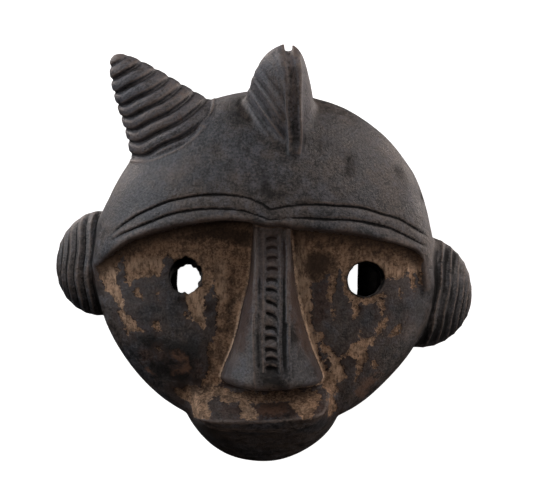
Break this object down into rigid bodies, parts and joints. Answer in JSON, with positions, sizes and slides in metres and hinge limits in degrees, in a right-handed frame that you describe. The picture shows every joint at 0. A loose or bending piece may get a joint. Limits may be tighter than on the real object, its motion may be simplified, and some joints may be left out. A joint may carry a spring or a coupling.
{
  "type": "miniature mask",
  "caption": "Small wooden mask carved from one block: round hollow head, brow ledge, ladder-marked nose, shelf-like lips, pierced eyes, ribbed horn, crest and side buns of hair.",
  "frame": {"origin": "the middle of the mask's outline, on the plane of the back rim that it lies on", "axes": "+Z out of the face, +Y up the face towards the crest, +X to the right of someone who looks at the face"},
  "size_m": [0.1091, 0.1087, 0.0422],
  "materials": {
    "dark_wood": "near-black hand-worn patina with a soft cool sheen, and matt brown clay left in the recesses of the face"
  },
  "bodies": {
    "root": {"mask": "dark_wood"}
  },
  "joints": []
}
